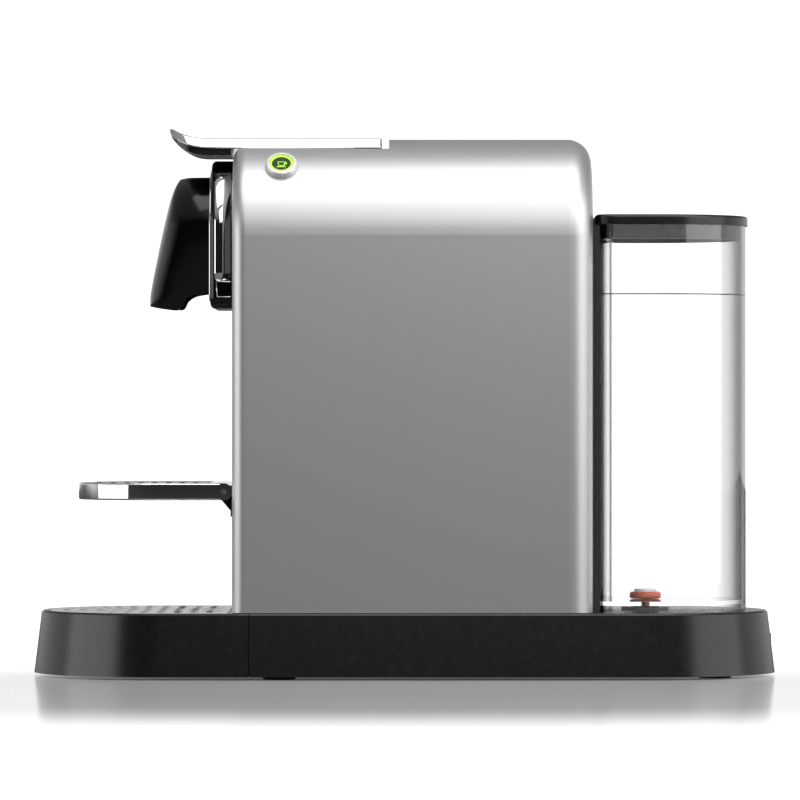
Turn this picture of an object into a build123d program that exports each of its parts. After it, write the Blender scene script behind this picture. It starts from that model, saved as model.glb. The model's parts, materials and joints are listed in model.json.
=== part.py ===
from build123d import *
import os
from math import cos, radians, sin

# A pod coffee machine. Millimetres, +Z up, the front faces -Y, the origin is under the middle of the base.

# Base: a stadium in plan whose sides lean in towards the top. A seam splits off its front, the drip drawer
BASE_LENGTH = 372.0
BASE_WIDTH = 130.0
BASE_TAPER = 3.8
BASE_LOW = 1.5
BASE_TOP = 32.7
WALL = 2.5
SEAM_Y = -76.8
GAP = 0.4

# Body: an arch in cross section, open below
BODY_FRONT = -85.3
BODY_REAR = 93.2
BODY_HALF = 60.0
BODY_CORNER = 49.0
BODY_FOOT = 33.0
BODY_TOP = 268.4
FRONT_ROUND = 6.5
REAR_ROUND = 12.0
FRONT_FACE = -85.0
PANEL_HALF = 49.6
PANEL_CORNER = 40.0
PANEL_TOP = 252.0
DRAWER_TOP = 180.0

# Recess for the lever in the top of the body
RECESS_FLOOR = 263.0
RECESS_REAR = -7.8
RECESS_ROUND = 5.0

# Capsule lever: a plate on a cross axle. Its two cams drive the capsule cage along a straight guide.
LEVER_Y = -22.0
LEVER_Z = 260.0
LEVER_HALF = 31.0
LEVER_LOW = 263.3
LEVER_TOP = 268.3
LEVER_TAIL = -11.3
LEVER_TIP = -117.7
LINER_LOW = 260.0
LEVER_OPEN = 92.0
CAGE_TRAVEL_PER_RADIAN = 17.43
AXLE_R = 2.0
RUNNING = 0.05
SLACK = 0.3
CAM_INNER = 22.2
CAM_OUTER = 24.7
CAM_RIM = 5.0
CHEEK_INNER = 25.4
CHEEK_OUTER = 27.4

# Capsule cage: slides along Y under the recess
CAGE_Z = 222.0
CAGE_R = 21.0
CAGE_BORE = 17.5
CAGE_FRONT = -75.6
CAGE_REAR = -46.0
CAGE_TRAVEL = CAGE_TRAVEL_PER_RADIAN * radians(LEVER_OPEN)
PIN_Y = -54.0
PIN_Z = 234.0
PIPE_R = 2.4

# Brew head on the front of the body, and the coffee outlet below the lever's grip
HEAD_FRONT = -96.5
HEAD_HALF = 42.0
HEAD_CORNER = 34.0
HEAD_LOW = 183.3
HEAD_TOP = 257.7
BAND_FRONT = -94.8
BAND_REAR = -86.4
BAND_LOW = 188.6
BAND_SILL = 197.0
BAND_DEPTH = 1.2
CAP_HALF = 29.5
CAP_GROOVES = (3.5, 8.5, 13.5, 18.3, 22.9, 26.5)
CAP_GROOVE_WIDTH = 1.2
OUTLET_HALF = 28.0
OUTLET_CORNER = 24.0
OUTLET_TOP = 249.7
NOZZLE_Y = -118.0

# Push buttons on the rounded shoulders of the body
BUTTON_Y = -61.0
BUTTON_ANGLE = 44.0
BEZEL_R = 8.0
BEZEL_TOP = 3.0
BEZEL_DEPTH = 6.0
BUTTON_R = 5.8
BUTTON_CORE_R = 4.8
BUTTON_TOP = 2.2
RING_TOP = 2.4
BUTTON_DEPTH = 8.2

# Drip drawer, its capsule bin and the folding cup support
BIN_HALF = 44.0
BIN_REAR = -5.0
BIN_TOP = 165.0
TONGUE_TOP = 35.8
GRID_CENTRE = -121.0
GRID_REAR = -87.5
GRID_THICK = 1.8
HOLE_R = 2.2
HOLE_PITCH = 8.2
SUPPORT_HALF = 39.5
SUPPORT_CENTRE = -124.2
SUPPORT_LOW = 88.2
SUPPORT_TOP = 96.7
HINGE_Y = -89.8
HINGE_Z = 92.45
HINGE_R = 4.25
HINGE_PIN_R = 1.5

# Water tank: a D in plan that stands on the rear of the base
TANK_FRONT = 97.0
TANK_HALF = 48.0
TANK_CENTRE = 123.4
TANK_LOW = 33.0
TANK_FLOOR = 36.1
TANK_FLOOR_TOP = 38.1
TANK_TOP = 225.0
TANK_WALL = 1.8
TANK_CORNER = 9.0
VALVE_Y = 121.0
VALVE_LOW = 38.3
VALVE_HIGH = 41.8
VALVE_CAP_TOP = 43.2
DOCK_TOP = 34.2
DOCK_SPOUT = 35.4
DOCK_SEAL_TOP = 35.6
GUIDE_TOP = 224.5

# Inside the body
SCREW_X = 36.0
SCREW_Z = 222.0
SHELF_LOW = 187.5
SHELF_TOP = 190.0
DIVIDER_Y = -3.5
PUMP_X = -22.0
PUMP_Z = 60.0
METER_X = 28.0
METER_Y = 66.0
HOSE_R = 2.5
HOSE_BEND = 5.0
GLAND_Z = 15.0
GLAND_BORE = 3.3
BASE_SCREWS = ((-42, -50), (42, -50), (-30, 140), (30, 140))
FEET = ((-50, -62), (50, -62), (-36, 154), (36, 154))

SIDES = (-1, 1)


def across(y):
    """The upright plane at y that faces forward: extruding from it goes towards the front."""
    return Plane.XZ.offset(-y)


def middle(ends):
    return (ends[0] + ends[1]) / 2


def span_box(xs, ys, zs, mode=Mode.ADD):
    """A box given by its range along each axis."""
    with Locations((middle(xs), middle(ys), middle(zs))):
        Box(xs[1] - xs[0], ys[1] - ys[0], zs[1] - zs[0], mode=mode)


def rod(radius, start, end, mode=Mode.ADD):
    """A round bar from one point to another."""
    run = Vector(*end) - Vector(*start)
    with Locations(Plane(origin=start, z_dir=run)):
        Cylinder(radius, run.length, align=(Align.CENTER, Align.CENTER, Align.MIN), mode=mode)


def arch_block(front, rear, half_width, corner, foot, top, front_round=0.0, rear_round=0.0, feet_round=0.0):
    """A block that runs from front to rear with rounded upper corners, and its end edges rounded."""
    with BuildPart() as block:
        with BuildSketch(across(rear)) as face:
            with Locations((0, (foot + top) / 2)):
                Rectangle(2 * half_width, top - foot)
            fillet(face.vertices().group_by(Axis.Y)[-1], corner)
            if feet_round:
                fillet(face.vertices().group_by(Axis.Y)[0], feet_round)
        extrude(amount=rear - front)
        for end, radius in ((0, front_round), (-1, rear_round)):
            if radius:
                rim = block.faces().sort_by(Axis.Y)[end].edges()
                if not feet_round:
                    rim = rim.filter_by(lambda edge: edge.bounding_box().max.Z > foot + 0.1)
                fillet(rim, radius)
    return block.part


def stadium_block(inset, low, high):
    """The leaning stadium of the base, drawn in by inset all round."""
    with BuildPart() as block:
        for height in (low, high):
            lean = BASE_TAPER * (height - BASE_LOW) / (BASE_TOP - BASE_LOW) + inset
            with BuildSketch(Plane.XY.offset(height)):
                SlotOverall(BASE_LENGTH - 2 * lean, BASE_WIDTH - 2 * lean, rotation=90)
        loft()
    return block.part


def tank_block(inset, low, high, reach=0.0):
    """The D plan of the tank, drawn in by inset all round and pulled forward by reach."""
    half, front, corner = TANK_HALF - inset, TANK_FRONT + inset - reach, TANK_CORNER - inset / 2
    with BuildPart() as block:
        with BuildSketch(Plane.XY.offset(low)):
            with BuildLine():
                Line((corner - half, front), (half - corner, front))
                RadiusArc((half - corner, front), (half, front + corner), -corner)
                Line((half, front + corner), (half, TANK_CENTRE))
                ThreePointArc((half, TANK_CENTRE), (0, TANK_CENTRE + half), (-half, TANK_CENTRE))
                Line((-half, TANK_CENTRE), (-half, front + corner))
                RadiusArc((-half, front + corner), (corner - half, front), -corner)
            make_face()
        extrude(amount=high - low)
    return block.part


def button_plane(side, height=0.0):
    """A plane on the shoulder of the body, its normal along the button's axis."""
    angle = radians(BUTTON_ANGLE)
    normal = Vector(side * cos(angle), 0, sin(angle))
    centre = Vector(side * (BODY_HALF - BODY_CORNER), BUTTON_Y, BODY_TOP - BODY_CORNER)
    return Plane(origin=centre + normal * (BODY_CORNER + height), x_dir=(0, 1, 0), z_dir=normal)


def cam_path(count):
    """Where the drive pin lies in the lever's own frame as the lever opens, seen at rest."""
    points = []
    for step in range(count + 1):
        turn = radians(LEVER_OPEN) * step / count
        y = PIN_Y - LEVER_Y + CAGE_TRAVEL_PER_RADIAN * turn
        z = PIN_Z - LEVER_Z
        points.append((LEVER_Y + y * cos(turn) - z * sin(turn), LEVER_Z + y * sin(turn) + z * cos(turn)))
    return points


def plate_underside():
    """The curve under the lever plate, from the tip to where it runs flat."""
    return Spline(
        (-117.0, 271.3), (-112.5, 266.9), (-105.0, 264.0), (-95.0, LEVER_LOW), tangents=((0.6, -0.8), (1, 0))
    )


# Body shell: one satin cover over both sides and the top
body_outer = arch_block(
    BODY_FRONT, BODY_REAR, BODY_HALF, BODY_CORNER, BODY_FOOT, BODY_TOP, FRONT_ROUND, REAR_ROUND
)
body_inner = arch_block(
    BODY_FRONT + WALL, BODY_REAR - WALL, BODY_HALF - WALL, BODY_CORNER - WALL, BODY_FOOT - 5, BODY_TOP - WALL,
    FRONT_ROUND - WALL, REAR_ROUND - WALL,
)
front_opening = arch_block(
    BODY_FRONT - 5, BODY_FRONT + 10, PANEL_HALF + GAP, PANEL_CORNER + GAP, BODY_FOOT - 5, PANEL_TOP + GAP
)
rear_opening = arch_block(BODY_REAR - 12, BODY_REAR + 5, 47.0, 36.0, BODY_FOOT - 5, 255.4)

with BuildPart() as body_shell:
    add(body_outer)
    add(body_inner, mode=Mode.SUBTRACT)
    add(front_opening, mode=Mode.SUBTRACT)
    add(rear_opening, mode=Mode.SUBTRACT)
    with BuildSketch(Plane.YZ.offset(-BODY_HALF)):
        with BuildLine():
            Polyline(
                (BODY_FRONT + RECESS_ROUND, RECESS_FLOOR), (RECESS_REAR, RECESS_FLOOR),
                (RECESS_REAR, BODY_TOP + 5), (BODY_FRONT - 5, BODY_TOP + 5),
                (BODY_FRONT - 5, RECESS_FLOOR - RECESS_ROUND),
                (BODY_FRONT, RECESS_FLOOR - RECESS_ROUND),
            )
            RadiusArc(
                (BODY_FRONT, RECESS_FLOOR - RECESS_ROUND), (BODY_FRONT + RECESS_ROUND, RECESS_FLOOR),
                RECESS_ROUND,
            )
        make_face()
    extrude(amount=2 * BODY_HALF, mode=Mode.SUBTRACT)
    # Room for the lever's tail to swing down
    span_box((-LEVER_HALF - 1, LEVER_HALF + 1), (-25, RECESS_REAR), (244, BODY_TOP), mode=Mode.SUBTRACT)
    for side in SIDES:
        with Locations(button_plane(side)):
            Cylinder(BEZEL_R + 0.1, 20, mode=Mode.SUBTRACT)

# Panels that close the front and the rear of the shell
front_panel_block = arch_block(
    FRONT_FACE, FRONT_FACE + WALL, PANEL_HALF, PANEL_CORNER, DRAWER_TOP + GAP, PANEL_TOP
)
with BuildPart() as front_panel:
    add(front_panel_block)
    rod(6, (0, FRONT_FACE - 1, CAGE_Z), (0, FRONT_FACE + 5, CAGE_Z), mode=Mode.SUBTRACT)

rear_panel_block = arch_block(BODY_REAR - 3.0, BODY_REAR - 0.4, 46.6, 35.6, BODY_FOOT, 255.0)
with BuildPart() as rear_panel:
    add(rear_panel_block)
    # Cooling slots near the top
    with BuildSketch(across(BODY_REAR + 1)):
        with GridLocations(9, 0, 7, 1):
            with Locations((0, 236)):
                SlotOverall(20, 3, rotation=90)
    extrude(amount=6, mode=Mode.SUBTRACT)
    for x in (-SCREW_X, SCREW_X):
        rod(2.1, (x, BODY_REAR + 1, SCREW_Z), (x, BODY_REAR - 6, SCREW_Z), mode=Mode.SUBTRACT)
        rod(3.8, (x, BODY_REAR + 1, SCREW_Z), (x, BODY_REAR - 1.8, SCREW_Z), mode=Mode.SUBTRACT)

with BuildPart() as panel_screws:
    for x in (-SCREW_X, SCREW_X):
        rod(2.0, (x, BODY_REAR - 9, SCREW_Z), (x, BODY_REAR - 1.8, SCREW_Z))
        rod(3.6, (x, BODY_REAR - 1.8, SCREW_Z), (x, BODY_REAR - 0.4, SCREW_Z))

# Recess tray: the floor under the lever, with the capsule slot and a trough for the lever's tail
with BuildPart() as recess_tray:
    span_box((-26.5, 26.5), (-80.6, -78), (260.4, RECESS_FLOOR - 0.1))
    span_box((-21.9, 21.9), (-78, -25.5), (260.4, RECESS_FLOOR - 0.1))
    for side in SIDES:
        span_box(sorted((side * 20.1, side * 21.9)), (-78, -42), (246, 260.4))
    span_box((-20, 20), (-75, -44), (250, 270), mode=Mode.SUBTRACT)
    with BuildSketch(Plane.YZ.offset(-21.9)):
        with Locations((LEVER_Y, LEVER_Z)):
            Circle(15.9)
        with Locations((-16.75, 250.2)):
            Rectangle(17.5, 20.4, mode=Mode.INTERSECT)
        with Locations((LEVER_Y, LEVER_Z)):
            Circle(14.1, mode=Mode.SUBTRACT)
        with Locations((-26.5, 253.7)):
            Rectangle(2, 18.4)
    extrude(amount=43.8)

# Brew head on the front: black frame, chrome band, ribbed cap and trim
head_block = arch_block(HEAD_FRONT, BODY_FRONT, HEAD_HALF, HEAD_CORNER, HEAD_LOW, HEAD_TOP, 2.6, 0.0, 6.0)
band_outer = arch_block(BAND_FRONT, BAND_REAR, HEAD_HALF, HEAD_CORNER, BAND_LOW, HEAD_TOP)
band_inner = arch_block(
    BAND_FRONT - 1, BAND_REAR + 1, HEAD_HALF - BAND_DEPTH, HEAD_CORNER - BAND_DEPTH, BAND_LOW - 1,
    HEAD_TOP - BAND_DEPTH,
)
trim_outer = arch_block(HEAD_FRONT - 0.6, HEAD_FRONT + 1.2, 38.2, 31.2, 186.8, 252.8, 0.5, 0.0, 4.0)
trim_inner = arch_block(HEAD_FRONT - 5, HEAD_FRONT + 5, 36.4, 29.4, 188.6, 251.0, 0.0, 0.0, 3.0)

with BuildPart() as head_band:
    add(band_outer)
    add(band_inner, mode=Mode.SUBTRACT)
    span_box((-CAP_HALF, CAP_HALF), (-100, -80), (240, 260), mode=Mode.SUBTRACT)
    # A small window under the sill leaves only thin chrome lines
    span_box(
        (-50, 50), (BAND_FRONT + 0.9, BAND_REAR - 0.9), (BAND_LOW + 0.9, BAND_SILL - 0.9), mode=Mode.SUBTRACT
    )

with BuildPart() as head_trim:
    add(trim_outer)
    add(trim_inner, mode=Mode.SUBTRACT)

with BuildPart() as head_cap:
    add(band_outer)
    add(band_inner, mode=Mode.SUBTRACT)
    span_box((-CAP_HALF + 0.1, CAP_HALF - 0.1), (-100, -80), (235, 260), mode=Mode.INTERSECT)
    # Grooves along the cap
    for side in SIDES:
        for place in CAP_GROOVES:
            edges = sorted((side * place - CAP_GROOVE_WIDTH / 2, side * place + CAP_GROOVE_WIDTH / 2))
            span_box(edges, (BAND_FRONT + 0.6, FRONT_FACE), (230, 260), mode=Mode.SUBTRACT)

with BuildPart() as head_frame:
    add(head_block)
    add(head_band.part, mode=Mode.SUBTRACT)
    add(head_trim.part, mode=Mode.SUBTRACT)
    span_box((-CAP_HALF, CAP_HALF), (BAND_FRONT, BAND_REAR), (HEAD_TOP - BAND_DEPTH, 260), mode=Mode.SUBTRACT)
    add(head_cap.part, mode=Mode.SUBTRACT)
    rod(5, (0, HEAD_FRONT - 5, CAGE_Z), (0, FRONT_FACE + 5, CAGE_Z), mode=Mode.SUBTRACT)

# Coffee outlet: a gloss hood that leans forward, and the nozzle inside it
with BuildPart() as outlet_hood:
    with BuildSketch(Plane.YZ.offset(-OUTLET_HALF)):
        with BuildLine():
            Line((HEAD_FRONT, OUTLET_TOP), (-106.5, OUTLET_TOP))
            Spline(
                (-106.5, OUTLET_TOP), (-114.7, 245.0), (-119.2, 231.3), (-124.3, 207.8), (-127.4, 186.6),
                tangents=((-1, 0), (-0.1, -1)),
            )
            Polyline((-127.4, 186.6), (-126.6, 184.2), (-115.2, 183.1), (-110.6, 183.9))
            Spline((-110.6, 183.9), (-106.5, 188.4), (HEAD_FRONT, 191.6), tangents=((0.4, 1), (1, 0.25)))
            Line((HEAD_FRONT, 191.6), (HEAD_FRONT, OUTLET_TOP))
        make_face()
    extrude(amount=2 * OUTLET_HALF)
    with BuildSketch(across(HEAD_FRONT)) as outline:
        with Locations((0, (OUTLET_TOP + 183) / 2)):
            Rectangle(2 * OUTLET_HALF, OUTLET_TOP - 183)
        fillet(outline.vertices().group_by(Axis.Y)[-1], OUTLET_CORNER)
        for side in SIDES:
            with BuildLine():
                Polyline(
                    (side * 22, 182), (side * 30, 182), (side * 30, 224), (side * OUTLET_HALF, 224),
                    close=True,
                )
            make_face(mode=Mode.SUBTRACT)
    extrude(amount=40, mode=Mode.INTERSECT)
    # Mouth for the nozzle, and the bore that brings the coffee to it
    rod(5.5, (0, NOZZLE_Y, 170), (0, NOZZLE_Y, 199), mode=Mode.SUBTRACT)
    rod(3, (0, NOZZLE_Y + 5, 198), (0, NOZZLE_Y + 5, CAGE_Z), mode=Mode.SUBTRACT)
    rod(4, (0, NOZZLE_Y + 3, CAGE_Z), (0, HEAD_FRONT + 1, CAGE_Z), mode=Mode.SUBTRACT)
    add(head_trim.part, mode=Mode.SUBTRACT)

with BuildPart() as outlet_nozzle:
    rod(5.4, (0, NOZZLE_Y, 190), (0, NOZZLE_Y, 198))
    rod(4.6, (0, NOZZLE_Y, 184.6), (0, NOZZLE_Y, 190))
    rod(3.0, (0, NOZZLE_Y, 180), (0, NOZZLE_Y, 205), mode=Mode.SUBTRACT)

# Capsule lever: plate with a curled tip, black liner under the grip, two cam plates and the axle
with BuildPart() as lever_plate:
    with BuildSketch(Plane.YZ.offset(-LEVER_HALF)):
        with BuildLine():
            Line((LEVER_TAIL, LEVER_LOW), (LEVER_TAIL, LEVER_TOP))
            Line((LEVER_TAIL, LEVER_TOP), (-96.0, LEVER_TOP))
            Spline(
                (-96.0, LEVER_TOP), (-106.2, 269.3), (-112.9, 271.7), (-116.0, 273.4),
                tangents=((-1, 0), (-0.82, 0.57)),
            )
            Spline((-116.0, 273.4), (-117.3, 273.0), (-117.0, 271.3), tangents=((-0.82, 0.57), (0.6, -0.8)))
            plate_underside()
            Line((-95.0, LEVER_LOW), (LEVER_TAIL, LEVER_LOW))
        make_face()
    extrude(amount=2 * LEVER_HALF)
    with BuildSketch(Plane.XY.offset(250)) as plan:
        with Locations((0, middle((LEVER_TIP, LEVER_TAIL)))):
            Rectangle(2 * LEVER_HALF, LEVER_TAIL - LEVER_TIP)
        fillet(plan.vertices().group_by(Axis.Y)[0], 15)
        fillet(plan.vertices().group_by(Axis.Y)[-1], 2)
    extrude(amount=40, mode=Mode.INTERSECT)

with BuildPart() as lever_liner:
    with BuildSketch(Plane.YZ.offset(-LEVER_HALF + 3)):
        with BuildLine():
            plate_underside()
            Line((-95.0, LEVER_LOW), (-86.6, LEVER_LOW))
            Line((-86.6, LEVER_LOW), (-86.6, LINER_LOW))
            Line((-86.6, LINER_LOW), (-98.5, LINER_LOW))
            Spline(
                (-98.5, LINER_LOW), (-107.1, 261.7), (-112.9, 265.4), (-117.0, 271.3),
                tangents=((-1, 0), (-0.25, 1)),
            )
        make_face()
    extrude(amount=2 * LEVER_HALF - 6)
    with BuildSketch(Plane.XY.offset(250)) as plan:
        with Locations((0, -100)):
            Rectangle(2 * LEVER_HALF - 6, 34)
        fillet(plan.vertices().group_by(Axis.Y)[0], 13)
    extrude(amount=40, mode=Mode.INTERSECT)

with BuildPart() as lever_cams:
    for side in SIDES:
        with BuildSketch(Plane.YZ.offset(min(side * CAM_INNER, side * CAM_OUTER))):
            with BuildLine(mode=Mode.PRIVATE) as spine:
                Spline(*cam_path(8))
            with BuildLine():
                for point in cam_path(6):
                    CenterArc(point, CAM_RIM, 0, 360)
                Polyline(
                    (-60, LEVER_LOW - 0.5), (-60, LEVER_LOW), (LEVER_Y + 9, LEVER_LOW),
                    (LEVER_Y + 9, LEVER_LOW - 0.5), close=True,
                )
            make_hull()
            trace(spine.line, line_width=2 * (AXLE_R + SLACK), mode=Mode.SUBTRACT)
            with Locations(cam_path(1)):
                Circle(AXLE_R + SLACK, mode=Mode.SUBTRACT)
            with Locations((LEVER_Y, LEVER_Z)):
                Circle(AXLE_R + RUNNING, mode=Mode.SUBTRACT)
        extrude(amount=CAM_OUTER - CAM_INNER)

with BuildPart() as lever_axle:
    rod(AXLE_R, (-CHEEK_OUTER, LEVER_Y, LEVER_Z), (CHEEK_OUTER, LEVER_Y, LEVER_Z))

# Capsule cage with its drive pins and piercer
with BuildPart() as capsule_cage:
    rod(CAGE_R, (0, CAGE_FRONT, CAGE_Z), (0, CAGE_REAR, CAGE_Z))
    for side in SIDES:
        span_box(sorted((side * 10, side * 21.4)), (-60, -48), (229.5, 238.6))
    rod(5, (0, CAGE_REAR, CAGE_Z), (0, -10, CAGE_Z))
    rod(CAGE_BORE, (0, CAGE_FRONT - 1, CAGE_Z), (0, -51, CAGE_Z), mode=Mode.SUBTRACT)
    rod(PIPE_R + RUNNING, (0, -52, CAGE_Z), (0, -5, CAGE_Z), mode=Mode.SUBTRACT)
    for side in SIDES:
        rod(AXLE_R, (side * 14, PIN_Y, PIN_Z), (side * 25, PIN_Y, PIN_Z), mode=Mode.SUBTRACT)

with BuildPart() as drive_pins:
    for side in SIDES:
        rod(AXLE_R, (side * 14, PIN_Y, PIN_Z), (side * CHEEK_OUTER, PIN_Y, PIN_Z))

with BuildPart() as piercer:
    rod(8, (0, -52.2, CAGE_Z), (0, -51, CAGE_Z))
    for place in range(3):
        with Locations(Pos(0, -53.7, CAGE_Z) * Rot(0, 120 * place, 0) * Pos(0, 0, 5) * Rot(90, 0, 0)):
            Cone(0.9, 0.1, 3)

# Brew frame: two cheeks that guide the cage and carry the axle, joined in front
with BuildPart() as brew_frame:
    for side in SIDES:
        with BuildSketch(Plane.YZ.offset(min(side * CHEEK_INNER, side * CHEEK_OUTER))):
            with BuildLine():
                Polyline((-79.2, SHELF_TOP), (14, SHELF_TOP), (14, 242), (-79.2, 242), close=True)
            make_face()
            with BuildLine():
                Polyline((-32, 240), (-20.4, 240), (-19.4, 259), (-23.4, 262.6), (-30, 255), close=True)
            make_face()
            with Locations((middle((PIN_Y, PIN_Y + CAGE_TRAVEL)), PIN_Z)):
                SlotOverall(CAGE_TRAVEL + 2 * (AXLE_R + SLACK) + 1, 2 * (AXLE_R + SLACK), mode=Mode.SUBTRACT)
            with Locations((LEVER_Y, LEVER_Z)):
                Circle(AXLE_R + RUNNING, mode=Mode.SUBTRACT)
        extrude(amount=CHEEK_OUTER - CHEEK_INNER)
    span_box((-CHEEK_OUTER, CHEEK_OUTER), (-82.2, -79.2), (SHELF_TOP, 250))
    rod(6, (0, -83, CAGE_Z), (0, -79, CAGE_Z), mode=Mode.SUBTRACT)

with BuildPart() as extraction_plate:
    rod(20, (0, -79.2, CAGE_Z), (0, -77.6, CAGE_Z))
    with BuildSketch(across(-77.6)):
        with Locations((0, CAGE_Z)):
            with GridLocations(5, 5, 5, 5):
                Rectangle(3.6, 3.6)
    extrude(amount=-1.3, taper=35)
    rod(2, (0, -80, CAGE_Z), (0, -75, CAGE_Z), mode=Mode.SUBTRACT)

with BuildPart() as coffee_duct:
    rod(4, (0, NOZZLE_Y + 5, CAGE_Z), (0, -79.2, CAGE_Z))
    rod(2.5, (0, NOZZLE_Y, CAGE_Z), (0, -79, CAGE_Z), mode=Mode.SUBTRACT)

with BuildPart() as feed_pipe:
    rod(PIPE_R, (0, -14, CAGE_Z), (0, 22, CAGE_Z))
    rod(1.2, (0, -15, CAGE_Z), (0, 23, CAGE_Z), mode=Mode.SUBTRACT)

# Push buttons: pale bezels fixed to the shell, and on each side a lit cap that travels along its axis
with BuildPart() as button_bezels:
    for side in SIDES:
        with BuildSketch(button_plane(side, BEZEL_TOP)):
            Circle(BEZEL_R)
            Circle(BUTTON_R + SLACK, mode=Mode.SUBTRACT)
        extrude(amount=-BEZEL_DEPTH)
    rims = button_bezels.edges().filter_by(GeomType.CIRCLE)
    fillet(rims.filter_by(lambda edge: edge.radius > BEZEL_R - 0.1).group_by(Axis.Z)[-1], 1.4)

button_parts = []
for name, side in (("espresso", 1), ("lungo", -1)):
    with BuildPart() as cap:
        with BuildSketch(button_plane(side, BUTTON_TOP)):
            Circle(BUTTON_CORE_R)
        extrude(amount=-BUTTON_DEPTH)
        fillet(cap.edges().filter_by(GeomType.CIRCLE).group_by(Axis.Z)[-1], 0.4)
    with BuildPart() as ring:
        with BuildSketch(button_plane(side, RING_TOP)):
            Circle(BUTTON_R)
            Circle(BUTTON_CORE_R, mode=Mode.SUBTRACT)
        extrude(amount=-BUTTON_DEPTH)
    button_parts += [(name + "_cap", cap), (name + "_ring", ring)]

with BuildPart() as button_boards:
    for side in SIDES:
        with BuildSketch(button_plane(side, -11.0)):
            Rectangle(18, 14)
        extrude(amount=1.4)
        with BuildSketch(button_plane(side, -9.6)):
            Rectangle(6, 6)
        extrude(amount=1.8)

# Base: shell, bottom plate, feet and screws
rear_half = (SEAM_Y + GAP / 2, 200)
base_outer = stadium_block(0, BASE_LOW, BASE_TOP)
base_inner = stadium_block(WALL, BASE_LOW, BASE_TOP - WALL)
with BuildPart() as base_shell:
    add(base_outer)
    chamfer(base_shell.faces().sort_by(Axis.Z)[-1].edges(), 0.9)
    span_box((-80, 80), rear_half, (0, 40), mode=Mode.INTERSECT)
    add(base_inner, mode=Mode.SUBTRACT)
    span_box((-60, 60), (rear_half[0], rear_half[0] + WALL), (BASE_LOW + 2.6, BASE_TOP - 2))
    for x, y in BASE_SCREWS:
        rod(4, (x, y, BASE_LOW + 2.2), (x, y, BASE_TOP - WALL))
        rod(1.9, (x, y, 0), (x, y, 14), mode=Mode.SUBTRACT)
    rod(4, (0, VALVE_Y, 20), (0, VALVE_Y, 40), mode=Mode.SUBTRACT)
    rod(4, (METER_X, METER_Y, 20), (METER_X, METER_Y, 40), mode=Mode.SUBTRACT)
    rod(6, (0, 170, GLAND_Z), (0, 190, GLAND_Z), mode=Mode.SUBTRACT)

with BuildPart() as base_plate:
    add(stadium_block(WALL + GAP, BASE_LOW, BASE_LOW + 2.2))
    span_box((-80, 80), (rear_half[0] + GAP, 200), (0, 40), mode=Mode.INTERSECT)
    for x, y in BASE_SCREWS:
        rod(2.0, (x, y, 0), (x, y, 8), mode=Mode.SUBTRACT)
        rod(3.8, (x, y, 0), (x, y, BASE_LOW + 1.2), mode=Mode.SUBTRACT)

with BuildPart() as base_screws:
    for x, y in BASE_SCREWS:
        rod(3.6, (x, y, BASE_LOW), (x, y, BASE_LOW + 1.2))
        rod(1.9, (x, y, BASE_LOW + 1.2), (x, y, 14))

with BuildPart() as rubber_feet:
    for x, y in FEET:
        rod(8, (x, y, 0), (x, y, BASE_LOW))

with BuildPart() as cord_gland:
    rod(6, (0, 178.2, GLAND_Z), (0, 184.0, GLAND_Z))
    rod(8, (0, 176.2, GLAND_Z), (0, 178.2, GLAND_Z))
    rod(GLAND_BORE, (0, 170, GLAND_Z), (0, 190, GLAND_Z), mode=Mode.SUBTRACT)

# Chassis: a wall behind the capsule bin with a shelf that carries the brew frame and the heater
with BuildPart() as chassis:
    span_box((-52, 52), (DIVIDER_Y, DIVIDER_Y + 2.5), (BASE_TOP, SHELF_LOW))
    span_box((-50, 50), (-79, 66), (SHELF_LOW, SHELF_TOP))
    span_box((-22, 22), (-77, -26), (180, 195), mode=Mode.SUBTRACT)
    for side in SIDES:
        span_box(sorted((side * 48, side * 50)), (DIVIDER_Y + 2.5, 66), (170, SHELF_LOW))
    rod(4, (0, 42, 180), (0, 42, 195), mode=Mode.SUBTRACT)

with BuildPart() as heater_block:
    span_box((-24, 24), (22, 62), (SHELF_TOP, 244))
    fillet(heater_block.edges().filter_by(Axis.Y), 8)
    # Groove for the heating element
    rod(3.2, (0, 24, 232), (0, 60, 232), mode=Mode.SUBTRACT)

with BuildPart() as heating_element:
    rod(3.2, (0, 24, 232), (0, 60, 232))

with BuildPart() as thermostat:
    rod(7, (0, 42, 244), (0, 42, 250))

# Pump on two rubber mounts, flow meter, hoses and control board
with BuildPart() as pump:
    rod(16, (PUMP_X, 22, PUMP_Z), (PUMP_X, 66, PUMP_Z))
    rod(8, (PUMP_X, 12, PUMP_Z), (PUMP_X, 22, PUMP_Z))
    rod(8, (PUMP_X, 66, PUMP_Z), (PUMP_X, 78, PUMP_Z))
    span_box((PUMP_X - 19, PUMP_X + 19), (34, 54), (PUMP_Z - 19, PUMP_Z + 19))

with BuildPart() as pump_mounts:
    for front, rear in ((24, 31), (57, 64)):
        span_box((PUMP_X - 22, PUMP_X + 22), (front, rear), (BASE_TOP, PUMP_Z + 20))
        rod(16, (PUMP_X, front - 1, PUMP_Z), (PUMP_X, rear + 1, PUMP_Z), mode=Mode.SUBTRACT)

with BuildPart() as flow_meter:
    rod(14, (METER_X, METER_Y, 40), (METER_X, METER_Y, 54))
    span_box((METER_X + 6, METER_X + 12), (METER_Y - 8, METER_Y + 8), (BASE_TOP, 40))

with BuildPart() as suction_hose:
    with BuildLine():
        FilletPolyline(
            (0, VALVE_Y, 31), (0, VALVE_Y, 15), (METER_X, METER_Y, 15), (METER_X, METER_Y, 40),
            radius=HOSE_BEND,
        )
    with BuildSketch(Plane(origin=(0, VALVE_Y, 31), z_dir=(0, 0, -1))):
        Circle(HOSE_R)
    sweep()

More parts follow.
